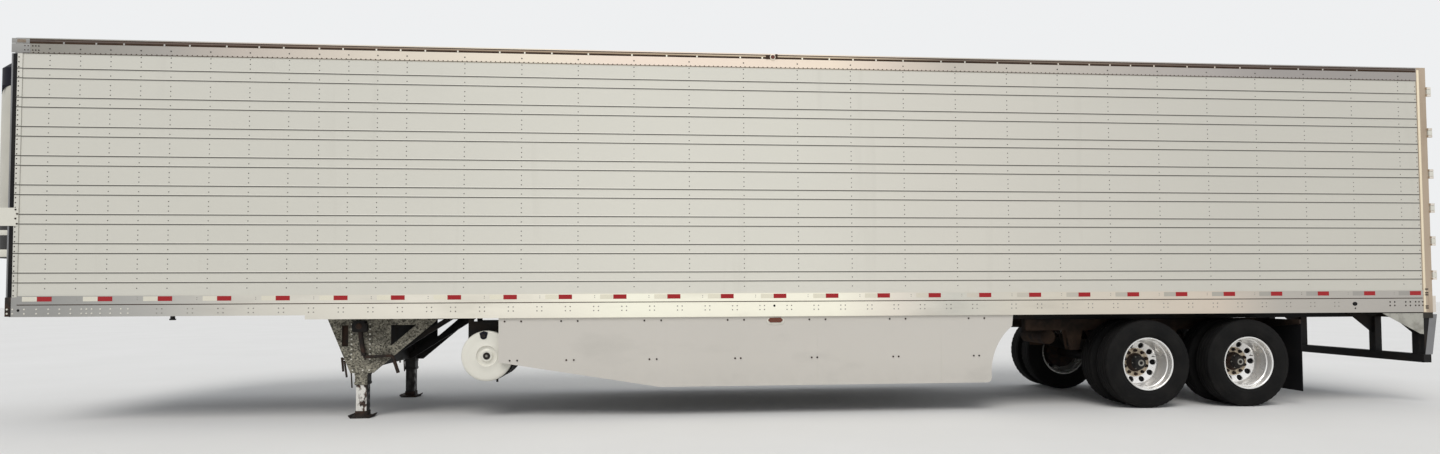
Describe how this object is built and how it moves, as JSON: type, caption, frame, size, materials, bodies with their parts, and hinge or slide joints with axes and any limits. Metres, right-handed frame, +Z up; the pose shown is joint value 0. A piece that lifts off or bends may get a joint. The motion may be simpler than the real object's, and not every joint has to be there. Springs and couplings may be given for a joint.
{
  "type": "refrigerated van semi trailer",
  "caption": "Insulated van semi trailer with nose-mounted cooling unit, landing legs, side skirts, sliding tandem with twin wheels, rear guard and swing doors, for towing by a fifth wheel.",
  "frame": {"origin": "on the ground under the centre of the whole trailer's box", "axes": "+X from the nose to the rear doors, +Y towards the kerb side, +Z up"},
  "size_m": [16.666, 2.614, 4.11],
  "materials": {
    "white_panel": "off-white baked enamel on aluminium sheet",
    "roof_sheet": "plain sheet, weathered",
    "plain_aluminium": "mill finish extrusion",
    "rail_paint": "off-white paint on extrusion",
    "stainless_frame": "brushed, warm and weathered",
    "chassis_black": "black chassis paint with dust",
    "black_plastic": "moulded, matt",
    "white_sheet": "light grey-white sheet",
    "galvanised": "hot-dip galvanised, mottled",
    "tank_aluminium": "brushed tank sheet",
    "black_rubber": "moulded rubber",
    "red_lens": "clear red lens",
    "amber_lens": "clear amber lens",
    "tyre_rubber": "worn tread, dusty sidewalls",
    "polished_wheel": "polished forged disc",
    "hub_iron": "dark cast iron with light rust"
  },
  "bodies": {
    "box": {"side_wall_left": "white_panel", "side_wall_right": "white_panel", "roof": "roof_sheet", "front_wall": "white_panel", "floor": "plain_aluminium", "top_rails": "rail_paint", "bottom_rails": "rail_paint", "corner_posts": "rail_paint", "rear_frame": "stainless_frame", "crossmembers": "plain_aluminium", "coupler": "chassis_black", "kingpin": "chassis_black", "unit_body": "white_panel", "unit_cowl": "black_plastic", "nose_plates": "white_sheet", "service_panel": "chassis_black", "leg_tubes": "galvanised", "leg_inners": "galvanised", "leg_feet": "galvanised", "leg_gussets": "galvanised", "leg_braces": "chassis_black", "leg_crank": "chassis_black", "fuel_tank": "tank_aluminium", "tank_hangers": "chassis_black", "side_skirts": "white_sheet", "skirt_struts": "galvanised", "slider_rails": "chassis_black", "rear_guard": "chassis_black", "dock_bumpers": "black_rubber", "red_lights": "red_lens", "amber_lights": "amber_lens"},
    "bogie": {"bogie_frame": "chassis_black", "trailing_arms": "chassis_black", "air_springs": "black_rubber", "axles": "chassis_black", "brake_chambers": "chassis_black", "air_tank": "chassis_black", "mud_flaps": "black_rubber"},
    "wheels_front_left": {"tyres_front_left": "tyre_rubber", "rims_front_left": "polished_wheel", "hub_front_left": "hub_iron"},
    "wheels_front_right": {"tyres_front_right": "tyre_rubber", "rims_front_right": "polished_wheel", "hub_front_right": "hub_iron"},
    "wheels_rear_left": {"tyres_rear_left": "tyre_rubber", "rims_rear_left": "polished_wheel", "hub_rear_left": "hub_iron"},
    "wheels_rear_right": {"tyres_rear_right": "tyre_rubber", "rims_rear_right": "polished_wheel", "hub_rear_right": "hub_iron"},
    "rear_door_left": {"door_left": "white_panel", "door_gear_left": "galvanised"},
    "rear_door_right": {"door_right": "white_panel", "door_gear_right": "galvanised"}
  },
  "joints": [
    {"name": "bogie_slide", "type": "slide", "parent": "box", "child": "bogie", "axis": [1, 0, 0], "range_m": [-0.9144, 1.0668]},
    {"name": "spin_front_left", "type": "hinge", "parent": "bogie", "child": "wheels_front_left", "pos_m": [4.634, -0.97, 0.52], "axis": [0, 1, 0], "continuous": true},
    {"name": "spin_front_right", "type": "hinge", "parent": "bogie", "child": "wheels_front_right", "pos_m": [4.634, 0.97, 0.52], "axis": [0, 1, 0], "continuous": true},
    {"name": "spin_rear_left", "type": "hinge", "parent": "bogie", "child": "wheels_rear_left", "pos_m": [5.897, -0.97, 0.52], "axis": [0, 1, 0], "continuous": true},
    {"name": "spin_rear_right", "type": "hinge", "parent": "bogie", "child": "wheels_rear_right", "pos_m": [5.897, 0.97, 0.52], "axis": [0, 1, 0], "continuous": true},
    {"name": "door_hinge_left", "type": "hinge", "parent": "box", "child": "rear_door_left", "pos_m": [8.319, -1.292, 2.66], "axis": [0, 0, -1], "range_deg": [0, 270]},
    {"name": "door_hinge_right", "type": "hinge", "parent": "box", "child": "rear_door_right", "pos_m": [8.319, 1.292, 2.66], "axis": [0, 0, 1], "range_deg": [0, 270]}
  ]
}
